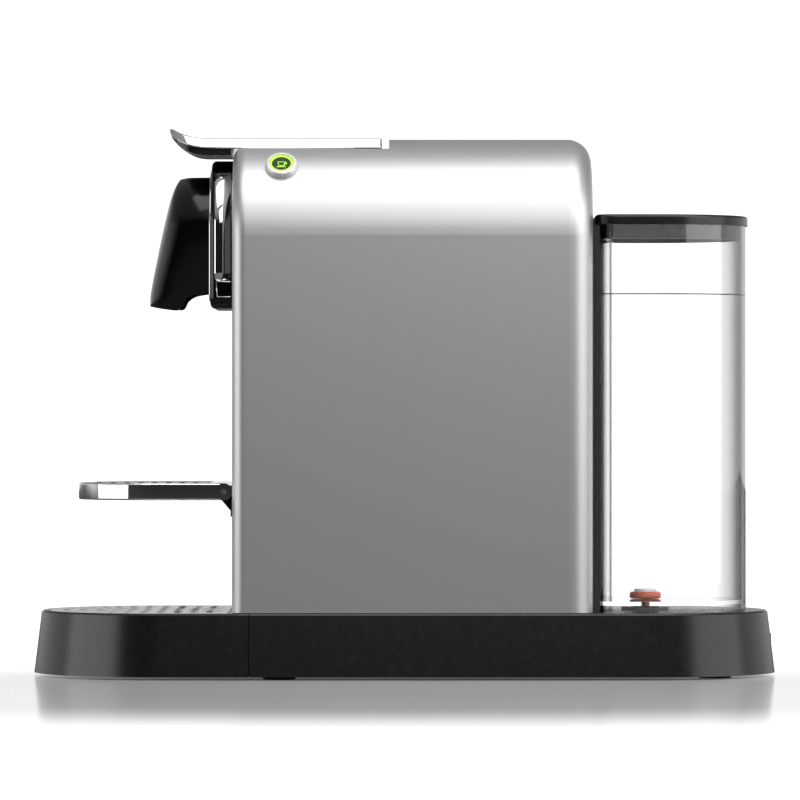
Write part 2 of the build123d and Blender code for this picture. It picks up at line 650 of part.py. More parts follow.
with BuildPart() as link_hose:
    with BuildLine():
        FilletPolyline(
            (METER_X, METER_Y, 54), (METER_X, METER_Y, 72), (PUMP_X, 86, PUMP_Z), (PUMP_X, 78, PUMP_Z),
            radius=(HOSE_BEND, 3.5),
        )
    with BuildSketch(Plane(origin=(METER_X, METER_Y, 54), z_dir=(0, 0, 1))):
        Circle(HOSE_R)
    sweep()

with BuildPart() as pressure_hose:
    with BuildLine():
        FilletPolyline(
            (PUMP_X, 12, PUMP_Z), (PUMP_X, 4, PUMP_Z), (PUMP_X, 4, 110), (0, 42, 160), (0, 42, SHELF_TOP),
            radius=(3.5, HOSE_BEND, HOSE_BEND),
        )
    with BuildSketch(Plane(origin=(PUMP_X, 12, PUMP_Z), z_dir=(0, -1, 0))):
        Circle(HOSE_R)
    sweep()

with BuildPart() as control_board:
    span_box((52, 53.6), (6, 84), (BASE_TOP, 150))
    for y, z in ((20, 60), (20, 90), (50, 60), (50, 110), (70, 90)):
        span_box((40, 52), (y - 7, y + 7), (z - 9, z + 9))

# Tank dock on the base, with its seal, and the guides that steady the tank
with BuildPart() as tank_dock:
    rod(12, (0, VALVE_Y, BASE_TOP), (0, VALVE_Y, DOCK_TOP))
    rod(3.6, (0, VALVE_Y, 31), (0, VALVE_Y, DOCK_SPOUT))
    rod(2.0, (0, VALVE_Y, 30), (0, VALVE_Y, 36), mode=Mode.SUBTRACT)

with BuildPart() as dock_seal:
    rod(6.5, (0, VALVE_Y, DOCK_TOP), (0, VALVE_Y, DOCK_SEAL_TOP))
    rod(3.6, (0, VALVE_Y, 34), (0, VALVE_Y, 36), mode=Mode.SUBTRACT)

with BuildPart() as tank_guides:
    span_box((-46, 46), (BODY_REAR - 0.4, BODY_REAR + 0.8), (BASE_TOP, GUIDE_TOP))
    for side in SIDES:
        for centre in (20, 45):
            span_box(
                (side * centre - 1, side * centre + 1),
                (BODY_REAR + 0.8, TANK_FRONT - GAP),
                (BASE_TOP, GUIDE_TOP),
            )

# Drip drawer: the front of the base, hollow under the grid, with a tongue that carries the capsule bin
front_half = (-200, SEAM_Y - GAP / 2)
with BuildPart() as drip_tray:
    add(base_outer)
    chamfer(drip_tray.faces().sort_by(Axis.Z)[-1].edges(), 0.9)
    span_box((-80, 80), front_half, (0, 40), mode=Mode.INTERSECT)
    with BuildSketch(Plane.XY.offset(5)):
        SlotOverall(BASE_LENGTH - 18, BASE_WIDTH - 18, rotation=90)
        with Locations((0, 250 + GRID_REAR - 1)):
            Rectangle(200, 500, mode=Mode.SUBTRACT)
    extrude(amount=40, mode=Mode.SUBTRACT)
    # Ledge for the grid
    with BuildSketch(Plane.XY.offset(BASE_TOP - GRID_THICK)):
        SlotOverall(BASE_LENGTH - 14.6, BASE_WIDTH - 14.6, rotation=90)
        with Locations((0, 250 + GRID_REAR + GAP)):
            Rectangle(200, 500, mode=Mode.SUBTRACT)
    extrude(amount=10, mode=Mode.SUBTRACT)
    span_box((-BIN_HALF, BIN_HALF), (-82.3, front_half[1]), (BASE_TOP - 0.1, TONGUE_TOP))
    span_box((-BIN_HALF, BIN_HALF), (front_half[1], BIN_REAR), (BASE_TOP + GAP, TONGUE_TOP))

grid_plan = (BASE_LENGTH - 15.4, BASE_WIDTH - 15.4)
with BuildPart() as drip_grid:
    with BuildSketch(Plane.XY.offset(BASE_TOP - GRID_THICK)):
        SlotOverall(*grid_plan, rotation=90)
        with Locations((0, 250 + GRID_REAR)):
            Rectangle(200, 500, mode=Mode.SUBTRACT)
    extrude(amount=GRID_THICK)
    with BuildSketch(Plane.XY.offset(BASE_TOP)) as holes:
        with Locations((0, GRID_CENTRE)):
            Circle(HOLE_R)
            for ring_number in range(1, 7):
                with PolarLocations(HOLE_PITCH * ring_number, 6 * ring_number):
                    Circle(HOLE_R)
            with GridLocations(HOLE_PITCH, HOLE_PITCH, 12, 1):
                with Locations(*[(0, HOLE_PITCH * row) for row in (1, 2, 3)]):
                    Circle(HOLE_R)
        with Locations((0, 250 + GRID_REAR - 4)):
            Rectangle(200, 500, mode=Mode.SUBTRACT)
    extrude(amount=-GRID_THICK, mode=Mode.SUBTRACT)

with BuildPart() as capsule_bin:
    span_box((-BIN_HALF, BIN_HALF), (-82.3, BIN_REAR), (TONGUE_TOP, BIN_TOP))
    fillet(capsule_bin.edges().filter_by(Axis.Z), 6)
    span_box((-BIN_HALF + 2, BIN_HALF - 2), (-80.3, BIN_REAR - 2), (TONGUE_TOP + 2, 200), mode=Mode.SUBTRACT)

with BuildPart() as bin_front:
    span_box((-PANEL_HALF, PANEL_HALF), (FRONT_FACE, FRONT_FACE + 2.6), (BODY_FOOT + 0.2, DRAWER_TOP))

with BuildPart() as support_bracket:
    span_box((-33, 33), (FRONT_FACE - 1.6, FRONT_FACE), (80, 87))
    for side in SIDES:
        with BuildSketch(Plane.YZ.offset(side * 27 - 3)):
            with BuildLine():
                CenterArc((HINGE_Y, HINGE_Z), 3.8, 0, 360)
                Polyline(
                    (FRONT_FACE, 81), (FRONT_FACE, 95), (FRONT_FACE - 0.1, 95), (FRONT_FACE - 0.1, 81),
                    close=True,
                )
            make_hull()
            with Locations((HINGE_Y, HINGE_Z)):
                Circle(HINGE_PIN_R, mode=Mode.SUBTRACT)
        extrude(amount=6)

with BuildPart() as support_pin:
    rod(HINGE_PIN_R, (-SUPPORT_HALF + 1, HINGE_Y, HINGE_Z), (SUPPORT_HALF - 1, HINGE_Y, HINGE_Z))

# Cup support: a chrome D with a rounded hinge end and a slotted deck let into its top
def support_plan(inset, rear):
    """The D plan of the cup support, drawn in by inset."""
    with BuildSketch() as plan:
        with Locations((0, SUPPORT_CENTRE)):
            Circle(SUPPORT_HALF - inset)
        with Locations((0, SUPPORT_CENTRE + SUPPORT_HALF)):
            Rectangle(3 * SUPPORT_HALF, 2 * SUPPORT_HALF, mode=Mode.SUBTRACT)
        with Locations((0, (SUPPORT_CENTRE + rear) / 2)):
            Rectangle(2 * (SUPPORT_HALF - inset), rear - SUPPORT_CENTRE)
    return plan.sketch


with BuildPart() as cup_support:
    with Locations((0, 0, SUPPORT_LOW)):
        add(support_plan(0, HINGE_Y))
    extrude(amount=SUPPORT_TOP - SUPPORT_LOW)
    rims = cup_support.edges().group_by(Axis.Z)
    fillet((rims[0] + rims[-1]).filter_by(lambda edge: edge.center().Y < HINGE_Y - 1), 0.9)
    rod(HINGE_R, (-SUPPORT_HALF, HINGE_Y, HINGE_Z), (SUPPORT_HALF, HINGE_Y, HINGE_Z))
    with BuildSketch(Plane.XY.offset(SUPPORT_LOW + 2.4)):
        add(support_plan(4, -98))
    extrude(amount=20, mode=Mode.SUBTRACT)
    with BuildSketch(Plane.XY.offset(SUPPORT_TOP - 2.2)):
        add(support_plan(2.4, -96.8))
    extrude(amount=20, mode=Mode.SUBTRACT)
    for side in SIDES:
        span_box(
            (side * 27 - 3.4, side * 27 + 3.4), (HINGE_Y - 5, HINGE_Y + 10), (80, 100), mode=Mode.SUBTRACT
        )
    rod(
        HINGE_PIN_R + RUNNING, (-SUPPORT_HALF - 1, HINGE_Y, HINGE_Z), (SUPPORT_HALF + 1, HINGE_Y, HINGE_Z),
        mode=Mode.SUBTRACT,
    )

with BuildPart() as support_deck:
    with BuildSketch(Plane.XY.offset(SUPPORT_TOP - 2.2)):
        add(support_plan(2.7, -97.1))
    extrude(amount=1.8)
    with BuildSketch(Plane.XY.offset(SUPPORT_TOP)):
        with Locations((0, -126)):
            for row in range(-4, 5):
                with Locations((0, 7 * row)):
                    SlotOverall(2 * (30 - 0.9 * row * row), 2.6)
    extrude(amount=-10, mode=Mode.SUBTRACT)

# Water tank with its valve, and the lid
tank_outer = tank_block(0, TANK_LOW, TANK_TOP)
tank_hollow = tank_block(TANK_WALL, TANK_FLOOR_TOP, TANK_TOP + 5)
tank_foot = tank_block(TANK_WALL, TANK_LOW - 5, TANK_FLOOR)
with BuildPart() as water_tank:
    add(tank_outer)
    add(tank_hollow, mode=Mode.SUBTRACT)
    add(tank_foot, mode=Mode.SUBTRACT)
    rod(2.8, (0, VALVE_Y, 30), (0, VALVE_Y, 45), mode=Mode.SUBTRACT)

with BuildPart() as valve_plunger:
    rod(7.9, (0, VALVE_Y, VALVE_LOW), (0, VALVE_Y, VALVE_HIGH))
    fillet(valve_plunger.edges().filter_by(GeomType.CIRCLE), 1.2)
    rod(2.4, (0, VALVE_Y, TANK_FLOOR - 0.1), (0, VALVE_Y, VALVE_LOW + 0.1))

with BuildPart() as valve_cap:
    rod(5.6, (0, VALVE_Y, VALVE_HIGH), (0, VALVE_Y, VALVE_CAP_TOP))
    fillet(valve_cap.edges().filter_by(GeomType.CIRCLE).sort_by(Axis.Z)[-1], 0.6)

with BuildPart() as tank_lid:
    add(tank_block(-1.0, TANK_TOP + 0.1, TANK_TOP + 5.0, 1.4))
    fillet(tank_lid.faces().sort_by(Axis.Z)[-1].edges(), 1.4)

lid_skirt_outer = tank_block(TANK_WALL + 0.4, TANK_TOP - 7, TANK_TOP + 0.1)
lid_skirt_inner = tank_block(TANK_WALL + 2.4, TANK_TOP - 10, TANK_TOP + 5)
with BuildPart() as lid_skirt:
    add(lid_skirt_outer)
    add(lid_skirt_inner, mode=Mode.SUBTRACT)

pieces = {
    "body_shell": body_shell, "front_panel": front_panel, "rear_panel": rear_panel,
    "panel_screws": panel_screws, "recess_tray": recess_tray, "head_frame": head_frame,
    "head_band": head_band, "head_trim": head_trim, "head_cap": head_cap,
    "outlet_hood": outlet_hood, "outlet_nozzle": outlet_nozzle, "lever_plate": lever_plate,
    "lever_liner": lever_liner, "lever_cams": lever_cams, "lever_axle": lever_axle,
    "capsule_cage": capsule_cage, "drive_pins": drive_pins, "piercer": piercer,
    "brew_frame": brew_frame, "extraction_plate": extraction_plate, "coffee_duct": coffee_duct,
    "feed_pipe": feed_pipe, "button_bezels": button_bezels, "button_boards": button_boards,
    "base_shell": base_shell, "base_plate": base_plate, "base_screws": base_screws,
    "rubber_feet": rubber_feet, "cord_gland": cord_gland, "chassis": chassis,
    "heater_block": heater_block, "heating_element": heating_element, "thermostat": thermostat,
    "pump": pump, "pump_mounts": pump_mounts, "flow_meter": flow_meter,
    "suction_hose": suction_hose, "link_hose": link_hose, "pressure_hose": pressure_hose,
    "control_board": control_board, "tank_dock": tank_dock, "dock_seal": dock_seal,
    "tank_guides": tank_guides, "drip_tray": drip_tray, "drip_grid": drip_grid,
    "capsule_bin": capsule_bin, "bin_front": bin_front, "support_bracket": support_bracket,
    "support_pin": support_pin, "cup_support": cup_support, "support_deck": support_deck,
    "water_tank": water_tank, "valve_plunger": valve_plunger, "valve_cap": valve_cap,
    "tank_lid": tank_lid, "lid_skirt": lid_skirt,
}
pieces.update(button_parts)
os.makedirs("parts", exist_ok=True)
for name, piece in pieces.items():
    piece.part.label = name
    export_step(piece.part, "parts/" + name + ".step")
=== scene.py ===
import json
import math

import bmesh
import bpy
import numpy as np
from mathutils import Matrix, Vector


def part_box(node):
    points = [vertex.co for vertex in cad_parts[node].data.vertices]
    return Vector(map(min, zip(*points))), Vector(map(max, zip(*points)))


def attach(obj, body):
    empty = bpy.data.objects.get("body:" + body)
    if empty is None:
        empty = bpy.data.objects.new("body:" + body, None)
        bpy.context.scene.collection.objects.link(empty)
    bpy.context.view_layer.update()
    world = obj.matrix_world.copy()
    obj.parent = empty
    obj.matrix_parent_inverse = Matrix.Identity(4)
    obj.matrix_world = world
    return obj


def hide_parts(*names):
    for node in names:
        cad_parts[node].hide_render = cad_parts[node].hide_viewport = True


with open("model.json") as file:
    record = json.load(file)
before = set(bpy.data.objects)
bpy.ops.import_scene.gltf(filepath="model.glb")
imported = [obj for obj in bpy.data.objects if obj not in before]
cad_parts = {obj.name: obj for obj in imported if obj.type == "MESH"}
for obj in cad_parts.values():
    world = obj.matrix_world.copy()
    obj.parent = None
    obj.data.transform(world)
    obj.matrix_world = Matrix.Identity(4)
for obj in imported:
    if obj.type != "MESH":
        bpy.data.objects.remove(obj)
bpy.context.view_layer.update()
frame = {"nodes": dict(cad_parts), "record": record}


def mm(*values):
    scaled = [value * 0.001 for value in values]
    return scaled[0] if len(scaled) == 1 else tuple(scaled)


# ---------------------------------------------------------------- camera
# The picture frames 402 mm at the machine's middle plane from 3 m away.
CAMERA_DISTANCE = 3.0
CAMERA_HEIGHT = 0.138
CAMERA_ALONG = -0.0023
FIELD = 0.4022
camera_data = bpy.data.cameras.new("camera")
camera_data.sensor_width = 36
camera_data.lens = camera_data.sensor_width * CAMERA_DISTANCE / FIELD
camera_data.clip_start = 0.05
camera = bpy.data.objects.new("camera", camera_data)
camera.location = (CAMERA_DISTANCE, CAMERA_ALONG, CAMERA_HEIGHT)
camera.rotation_euler = (math.pi / 2, 0, math.pi / 2)
bpy.context.collection.objects.link(camera)
bpy.context.scene.camera = camera
bpy.context.scene.view_settings.view_transform = "Standard"


# ---------------------------------------------------------------- materials
# Fractal noise stays between these two values nearly everywhere
NOISE_LOW = 0.3
NOISE_HIGH = 0.7
PLASTIC_IOR = 1.46


class Paint:
    """A Principled material that is put together from a few procedural layers. Scales are in features
    per metre, and the depth of a bump is in metres."""

    def __init__(self, name, color, roughness, metallic=0.0, **sockets):
        self.material = bpy.data.materials.new(name)
        self.material.use_nodes = True
        self.tree = self.material.node_tree
        self.shader = self.tree.nodes["Principled BSDF"]
        self.set("Base Color", (*color, 1.0))
        self.set("Roughness", roughness)
        self.set("Metallic", metallic)
        for socket, value in sockets.items():
            self.set(socket.replace("_", " "), value)
        self.place = self.node("ShaderNodeTexCoord").outputs["Object"]
        self.normal = None

    def set(self, socket, value):
        self.shader.inputs[socket].default_value = value

    def node(self, kind, **settings):
        made = self.tree.nodes.new(kind)
        for name, value in settings.items():
            if name in made.inputs:
                made.inputs[name].default_value = value
            else:
                setattr(made, name, value)
        return made

    def link(self, source, target):
        self.tree.links.new(source, target)

    def noise(self, scale, detail=4.0, stretch=(1, 1, 1)):
        """A noise value in the object's own space."""
        mapping = self.node("ShaderNodeMapping")
        mapping.inputs["Scale"].default_value = stretch
        self.link(self.place, mapping.inputs["Vector"])
        texture = self.node("ShaderNodeTexNoise", Scale=scale, Detail=detail)
        self.link(mapping.outputs["Vector"], texture.inputs["Vector"])
        return texture.outputs["Fac"]

    def remap(self, value, low, high):
        """A noise value stretched over a range."""
        remapped = self.node("ShaderNodeMapRange")
        remapped.inputs["From Min"].default_value = NOISE_LOW
        remapped.inputs["From Max"].default_value = NOISE_HIGH
        remapped.inputs["To Min"].default_value = low
        remapped.inputs["To Max"].default_value = high
        self.link(value, remapped.inputs["Value"])
        return remapped.outputs["Result"]

    def vary_roughness(self, scale, low, high, stretch=(1, 1, 1)):
        rough = self.remap(self.noise(scale, 5.0, stretch), low, high)
        self.link(rough, self.shader.inputs["Roughness"])
        return self

    def ramp_color(self, value, *stops):
        """The base colour runs from the first stop to the second as the value rises."""
        ramp = self.node("ShaderNodeValToRGB")
        for element, (position, color) in zip(ramp.color_ramp.elements, stops):
            element.position = position
            element.color = (*color, 1)
        self.link(value, ramp.inputs["Fac"])
        self.link(ramp.outputs["Color"], self.shader.inputs["Base Color"])
        return self

    def vary_color(self, scale, dark, light, stretch=(1, 1, 1)):
        return self.ramp_color(self.noise(scale, 4.0, stretch), (NOISE_LOW, dark), (NOISE_HIGH, light))

    def painted_edge_shade(self, face_color, painted_shade_color):
        """Painted shade: the base colour of clear plastic darkens where it is seen edge on, standing in
        for the longer way through it.
        """
        facing = self.node("ShaderNodeLayerWeight", Blend=0.5)
        return self.ramp_color(facing.outputs["Facing"], (0.25, face_color), (0.65, painted_shade_color))

    def bump(self, scale, strength, distance=0.0001, stretch=(1, 1, 1)):
        """Grain: a small bump on top of any earlier one."""
        bump = self.node("ShaderNodeBump", Strength=strength, Distance=distance)
        self.link(self.noise(scale, 3.0, stretch), bump.inputs["Height"])
        if self.normal:
            self.link(self.normal, bump.inputs["Normal"])
        self.normal = bump.outputs["Normal"]
        self.link(self.normal, self.shader.inputs["Normal"])
        return self


def make_materials():
    """One finish for each material slot of the record."""
    paints = {}

    def finish(slot, *look, **sockets):
        paints[slot] = Paint(slot, *look, **sockets)
        return paints[slot]

    silver = finish("satin_silver", (0.60, 0.60, 0.61), 0.42, 0.92)
    silver.vary_color(9000, (0.55, 0.55, 0.56), (0.65, 0.65, 0.66))
    silver.vary_roughness(900, 0.40, 0.44).bump(5200, 0.10, 0.00003)
    gloss = finish("black_gloss", (0.0015, 0.0015, 0.0017), 0.18, Specular_IOR_Level=0.45)
    gloss.vary_roughness(55, 0.16, 0.20).bump(90, 0.015, 0.0003)
    satin = finish("black_satin", (0.002, 0.002, 0.0022), 0.26, Specular_IOR_Level=0.65)
    satin.vary_color(300, (0.0015, 0.0015, 0.0016), (0.003, 0.003, 0.0032))
    satin.vary_roughness(300, 0.25, 0.28).bump(3000, 0.16, 0.00005)
    lid = finish("lid_grey", (0.008, 0.008, 0.009), 0.24)
    lid.vary_roughness(80, 0.20, 0.29).bump(2600, 0.08, 0.00004)
    chrome = finish("chrome", (0.86, 0.86, 0.87), 0.045, 1.0)
    chrome.vary_roughness(35, 0.03, 0.07).bump(70, 0.01, 0.0002)
    brushed = (1, 14, 1)
    steel = finish("steel", (0.62, 0.62, 0.63), 0.22, 1.0)
    steel.vary_roughness(200, 0.18, 0.30, brushed).bump(1500, 0.08, 0.00003, brushed)
    inner = finish("inner_plastic", (0.10, 0.10, 0.11), 0.5)
    inner.vary_color(90, (0.08, 0.08, 0.085), (0.13, 0.13, 0.14)).bump(2400, 0.2, 0.00005)
    cast = finish("aluminium_cast", (0.6, 0.6, 0.61), 0.45, 1.0)
    cast.vary_color(400, (0.5, 0.5, 0.51), (0.68, 0.68, 0.69)).bump(1200, 0.35, 0.0001)
    board = finish("board_green", (0.03, 0.16, 0.06), 0.35)
    board.vary_color(500, (0.02, 0.12, 0.045), (0.04, 0.2, 0.08)).bump(1500, 0.2, 0.00005)
    rubber = finish("rubber_black", (0.02, 0.02, 0.02), 0.7)
    rubber.vary_color(200, (0.015, 0.015, 0.015), (0.03, 0.03, 0.03)).bump(1800, 0.3, 0.00008)
    hose = finish("hose_clear", (0.75, 0.75, 0.72), 0.3, Transmission_Weight=0.5)
    hose.bump(900, 0.1, 0.00005)
    bezel = finish("bezel_pale", (0.75, 0.76, 0.73), 0.25, 0.3, Coat_Weight=0.3)
    bezel.vary_roughness(300, 0.2, 0.3).bump(2500, 0.05, 0.00003)
    dark = finish("button_dark", (0.006, 0.05, 0.008), 0.15, Coat_Weight=0.5)
    dark.vary_color(700, (0.004, 0.035, 0.006), (0.010, 0.065, 0.012)).bump(2500, 0.05, 0.00003)
    light = finish("button_light", (0.50, 0.80, 0.08), 0.2)
    light.set("Emission Color", (0.45, 0.85, 0.05, 1.0))
    light.set("Emission Strength", 0.6)
    light.bump(2500, 0.05, 0.00003)
    clear = finish("tank_clear", (1.0, 1.0, 1.0), 0.015, Transmission_Weight=1.0, IOR=PLASTIC_IOR)
    # Painted shade: the tank's base colour darkens where the plastic is seen edge on.
    clear.painted_edge_shade((1.0, 1.0, 1.0), (0.08, 0.077, 0.077)).vary_roughness(30, 0.0, 0.03)
    clear.bump(25, 0.01, 0.0003)
    smoke = finish("guide_smoke", (0.10, 0.10, 0.105), 0.10, Transmission_Weight=0.6, IOR=PLASTIC_IOR)
    smoke.vary_roughness(60, 0.06, 0.14).bump(40, 0.02, 0.0003)
    red = finish("valve_red", (0.62, 0.085, 0.015), 0.30)
    red.vary_color(500, (0.52, 0.060, 0.010), (0.72, 0.13, 0.025)).bump(1500, 0.12, 0.00006)
    white = finish("valve_white", (0.8, 0.78, 0.78), 0.3)
    white.vary_roughness(300, 0.25, 0.38).bump(1800, 0.05, 0.00004)
    return {slot: paint.material for slot, paint in paints.items()}


def paint_nodes(materials):
    """Gives each CAD node the finish of its slot."""
    for part in frame["record"]["subparts"]:
        mesh = frame["nodes"][part["node"]].data
        mesh.materials.clear()
        mesh.materials.append(materials[part["material_slot"]])


# ---------------------------------------------------------------- mesh helpers
def mesh_object(name, points, faces, material, smooth=True):
    mesh = bpy.data.meshes.new(name)
    mesh.from_pydata([tuple(point) for point in points], [], faces)
    mesh.update()
    made = bpy.data.objects.new(name, mesh)
    bpy.context.collection.objects.link(made)
    mesh.materials.append(material)
    if smooth:
        mesh.polygons.foreach_set("use_smooth", [True] * len(mesh.polygons))
    return made


def place(piece, body, slot, *nodes):
    """The piece rides on a body and stands for CAD nodes, if any. The slot is not used."""
    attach(piece, body)
    if nodes:
        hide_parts(*nodes)
    return piece


def smooth_curve(knots, values, at):
    """The value at a place between knots, along a cubic that keeps its slope at each knot."""
    knots, values = np.array(knots, float), np.array(values, float)
    slopes = np.gradient(values, knots)
    spot = int(np.clip(np.searchsorted(knots, at) - 1, 0, len(knots) - 2))
    width = knots[spot + 1] - knots[spot]
    t = min(max((at - knots[spot]) / width, 0.0), 1.0)
    return float(
        (2 * t**3 - 3 * t**2 + 1) * values[spot] + (t**3 - 2 * t**2 + t) * width * slopes[spot]
        + (3 * t**2 - 2 * t**3) * values[spot + 1] + (t**3 - t**2) * width * slopes[spot + 1]
    )


def ring_mesh(name, rings, material, closed):
    """A skin over rings of points in millimetres, with a face over the first and the last ring."""
    count = len(rings[0])
    points = [mm(*point) for ring in rings for point in ring]
    faces = []
    for level in range(len(rings) - 1):
        for step in range(count if closed else count - 1):
            a, b = level * count + step, level * count + (step + 1) % count
            faces.append((a, b, b + count, a + count))
    faces.append(tuple(range(count))[::-1])
    faces.append(tuple((len(rings) - 1) * count + step for step in range(count)))
    made = mesh_object(name, points, faces, material)
    grown = bmesh.new()
    grown.from_mesh(made.data)
    bmesh.ops.remove_doubles(grown, verts=grown.verts, dist=mm(0.001))
    bmesh.ops.recalc_face_normals(grown, faces=grown.faces)
    grown.to_mesh(made.data)
    grown.free()
    return made


def fill_straights(outline, spacing):
    """A closed outline with points added on its long runs."""
    filled = []
    for (x, y), (next_x, next_y) in zip(outline, outline[1:] + outline[:1]):
        steps = max(1, round(math.hypot(next_x - x, next_y - y) / spacing))
        filled += [
            (x + (next_x - x) * step / steps, y + (next_y - y) * step / steps) for step in range(steps)
        ]
    return filled


# ---------------------------------------------------------------- coffee outlet
def outlet_hood(materials):
    """The gloss hood: level rings from the hollow underside, round the lip and up to the crown."""
    low, high = (corner * 1000 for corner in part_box("outlet_hood"))
    corner = 24.0
    shoulder = high.z - corner
    depth_heights = (low.z, 186.5, 196.6, 207.8, 219.5, 231.3, 239.9, 245.0, 247.6, 249.0, high.z)
    depths = (31.2, 31.4, 30.2, 28.0, 25.6, 22.9, 20.6, 18.6, 17.0, 15.4, 12.0)
    side_heights = (low.z, 196, 207, 218, shoulder)
    side_widths = (22.0, 24.4, 26.3, 27.6, high.x)
    lip_places = (-128, -121, -114, -110.8, -109.6, -107, -102, high.y)
    lip_heights = (185.0, 183.8, 183.4, 184.4, 187.2, 189.6, 191.2, 192.0)
    squareness = 2 / 2.5
    lip_run = 14.0
    first_rise = 0.6
    wall_steps, crown_steps, round_steps = 26, 18, 56
    levels = [
        low.z + first_rise + (shoulder - low.z) * step / wall_steps for step in range(wall_steps + 1)
    ]
    levels += [
        shoulder + corner * math.sin(math.pi / 2 * step / crown_steps) for step in range(1, crown_steps)
    ]
    levels.append(high.z - 0.02)
    turns = [math.pi * step / round_steps for step in range(round_steps + 1)]
    rings = []
    for level in levels:
        depth = smooth_curve(depth_heights, depths, level)
        if level <= shoulder:
            width = smooth_curve(side_heights, side_widths, level)
        else:
            width = high.x - corner + math.sqrt(max(corner**2 - (level - shoulder) ** 2, 0.0))
        ring = []
        for turn in turns:
            x = width * math.copysign(abs(math.cos(turn)) ** squareness, math.cos(turn))
            y = high.y - depth * math.sin(turn) ** squareness
            # The lowest rings follow the lip's own height
            share = max(0.0, 1 - (level - low.z) / lip_run)
            lift = share * (smooth_curve(lip_places, lip_heights, y) - low.z - first_rise)
            ring.append((x, y, level + lift))
        rings.append(ring)
    # The lip turns in and up to the hollow underside
    lip, centre = rings[0], high.y - 13
    for inset, rise in ((1.6, 0.0), (2.2, 1.2), (3.0, 7.0)):
        ring = []
        for x, y, z in lip:
            keep = 1 - inset / math.hypot(x, y - centre)
            ring.append((x * keep, min(centre + (y - centre) * keep, high.y), z + rise))
        rings.insert(0, ring)
    hood = ring_mesh("outlet_hood_skin", rings, materials["black_gloss"], closed=False)
    return place(hood, "machine", "black_gloss", "outlet_hood")


# ---------------------------------------------------------------- lever
def lever_plate(materials):
    """The chrome plate: a rounded plan whose tip curls up, with slanted sides and soft edges."""
    low, high = (corner * 1000 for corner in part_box("lever_plate"))
    flat_low, flat_top = low.z, low.z + 5.0
    top_places = (
        low.y, low.y + 1.2, low.y + 4.6, low.y + 8.0, low.y + 11.3, low.y + 15.1, -96.0, -88.0, high.y
    )
    top_heights = (high.z, high.z - 0.1, 271.7, 270.2, 269.3, 268.6, flat_top, flat_top, flat_top)
    low_places = (low.y, low.y + 0.7, low.y + 2.6, low.y + 5.0, -109.0, -105.0, -100.0, -95.0, high.y)
    low_heights = (272.2, 270.8, 268.6, 266.9, 265.2, 264.0, 263.4, flat_low, flat_low)
    slant, tip, tail, corner_steps = 2.6, 15, 2, 14
    outline = []
    for centre_x, centre_y, radius, start in (
        (high.x - tip, low.y + tip, tip, -90), (high.x - tail, high.y - tail, tail, 0),
        (tail - high.x, high.y - tail, tail, 90), (tip - high.x, low.y + tip, tip, 180),
    ):
        for step in range(corner_steps + 1):
            turn = math.radians(start + 90 * step / corner_steps)
            outline.append((centre_x + radius * math.cos(turn), centre_y + radius * math.sin(turn)))
    outline = fill_straights(outline, 1.5)
    middle = (low.y + high.y) / 2
    # Near the middle of the width the slanted sides draw in less
    full_slant = 16

    def ring(inset, share):
        """The outline drawn in by inset, at a share of the thickness above the underside."""
        made = []
        for x, y in outline:
            x -= math.copysign(min(inset + slant * share, abs(x)), x) * min(1.0, abs(x) / full_slant)
            y = min(max(y, low.y + inset), high.y - inset)
            bottom = smooth_curve(low_places, low_heights, y)
            top = smooth_curve(top_places, top_heights, y)
            made.append((x, y, bottom + (top - bottom) * share))
        return made

    def shrunk(edge, keep, places, heights):
        """A ring of the flat, scaled towards the middle and laid on its own curve."""
        made = []
        for x, y, _ in edge:
            y = middle + (y - middle) * keep
            made.append((x * keep, y, smooth_curve(places, heights, y)))
        return made

    # The edge from below to above, then the flats below and above in shrinking rings
    edges = [ring(0.7, 0.0), ring(0.3, 0.03), ring(0.05, 0.1), ring(0.0, 0.2), ring(0.0, 0.82)]
    edges += [ring(0.05, 0.91), ring(0.3, 0.98), ring(0.7, 1.0)]
    flat_steps = 24
    shares = [(step / flat_steps) ** 0.6 for step in range(1, flat_steps)]
    under = [shrunk(edges[0], keep, low_places, low_heights) for keep in shares]
    over = [shrunk(edges[-1], keep, top_places, top_heights) for keep in reversed(shares)]
    plate = ring_mesh("lever_plate_skin", under + edges + over, materials["chrome"], closed=True)
    return place(plate, "lever", "chrome", "lever_plate")


